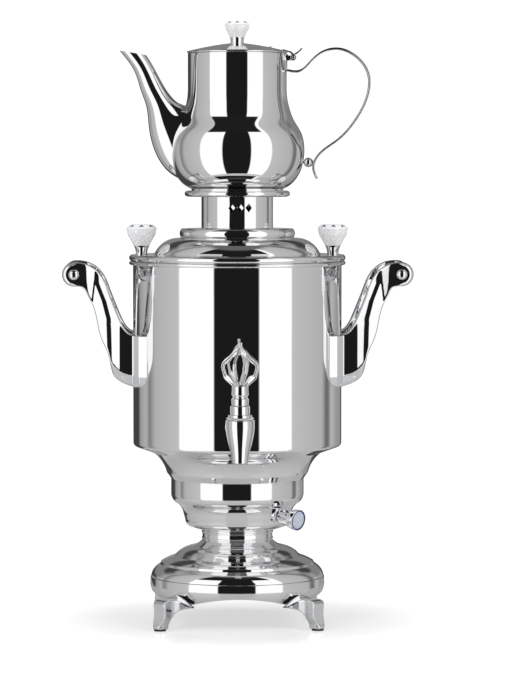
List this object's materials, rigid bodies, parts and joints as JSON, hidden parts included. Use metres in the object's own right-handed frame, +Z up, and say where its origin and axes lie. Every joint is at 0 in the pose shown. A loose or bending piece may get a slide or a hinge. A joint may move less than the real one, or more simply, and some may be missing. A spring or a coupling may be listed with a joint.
{
  "type": "electric samovar",
  "caption": "Polished electric samovar on a footed base, with an openwork tap key, scroll handles, a lift-off lid and a hinged teapot on a steam collar.",
  "frame": {"origin": "on the boiler's axis, on the surface the feet stand on", "axes": "+Z up; the tap faces -Y; the teapot's spout points to -X and its strap handle to +X"},
  "size_m": [0.3266, 0.2506, 0.5633],
  "materials": {
    "polished_steel": "mirror polished",
    "plated_casting": "mirror polished",
    "plain_steel": "satin",
    "valve_brass": "satin",
    "seal_rubber": "matte",
    "dark_plastic": "matte",
    "clear_knob": "gloss",
    "blue_trim": "gloss",
    "pilot_lens": "gloss"
  },
  "bodies": {
    "boiler": {"base_skirt": "polished_steel", "base_bell": "polished_steel", "pedestal_neck": "polished_steel", "bottom_plate": "plain_steel", "tie_washer": "plain_steel", "tie_nut": "plain_steel", "tie_rod": "plain_steel", "foot_front_left": "plated_casting", "foot_front_right": "plated_casting", "foot_rear_left": "plated_casting", "foot_rear_right": "plated_casting", "foot_pads": "seal_rubber", "foot_screws": "plain_steel", "pedestal_cup": "polished_steel", "mains_inlet": "dark_plastic", "inlet_pins": "valve_brass", "boiler_flare": "polished_steel", "boiler_floor": "plain_steel", "boiler_shell": "polished_steel", "heating_element": "plain_steel", "element_seals": "seal_rubber", "element_nuts": "plain_steel", "thermal_cutout": "plain_steel", "terminal_block": "dark_plastic", "thermostat_body": "dark_plastic", "knob_escutcheon": "plated_casting", "tap_body": "plated_casting", "tap_gland": "plated_casting", "tap_seals": "seal_rubber", "tap_nut": "valve_brass", "handle_arm_left_front": "plated_casting", "handle_arm_left_rear": "plated_casting", "handle_arm_right_front": "plated_casting", "handle_arm_right_rear": "plated_casting", "handle_grips": "plated_casting", "grip_screws": "plated_casting", "handle_washers": "seal_rubber", "handle_bolts": "plain_steel"},
    "tap_valve": {"tap_plug": "valve_brass", "tap_key": "plated_casting"},
    "thermostat_knob": {"knob_shell": "plated_casting", "knob_ring": "blue_trim", "knob_lens": "pilot_lens", "knob_spindle": "plain_steel"},
    "boiler_lid": {"boiler_lid": "polished_steel", "lid_ferrules": "plated_casting", "lid_knob_left": "clear_knob", "lid_knob_right": "clear_knob", "lid_knob_screws": "plain_steel"},
    "teapot_stand": {"stand_collar": "polished_steel", "stand_plate": "polished_steel"},
    "teapot": {"teapot_body": "polished_steel", "teapot_spout": "polished_steel", "teapot_strap": "polished_steel", "hinge_bracket": "polished_steel", "hinge_pin": "polished_steel"},
    "teapot_lid": {"teapot_lid": "polished_steel", "teapot_lid_ferrule": "plated_casting", "teapot_lid_knob": "clear_knob", "teapot_lid_screw": "plain_steel"}
  },
  "joints": [
    {"name": "tap_turn", "type": "hinge", "parent": "boiler", "child": "tap_valve", "pos_m": [0, -0.131, 0.191], "axis": [0, 0, 1], "range_deg": [0, 90]},
    {"name": "thermostat_turn", "type": "hinge", "parent": "boiler", "child": "thermostat_knob", "pos_m": [0.03723, -0.03471, 0.1028], "axis": [0.7259, -0.6769, -0.1219], "range_deg": [-270, 0]},
    {"name": "lid_lift", "type": "slide", "parent": "boiler", "child": "boiler_lid", "axis": [0, 0, 1], "range_m": [0, 0.08]},
    {"name": "stand_lift", "type": "slide", "parent": "boiler_lid", "child": "teapot_stand", "axis": [0, 0, 1], "range_m": [0, 0.06]},
    {"name": "teapot_lift", "type": "slide", "parent": "teapot_stand", "child": "teapot", "axis": [0, 0, 1], "range_m": [0, 0.1]},
    {"name": "pot_lid_hinge", "type": "hinge", "parent": "teapot", "child": "teapot_lid", "pos_m": [0.0524, 0, 0.5295], "axis": [0, 1, 0], "range_deg": [0, 85]}
  ]
}
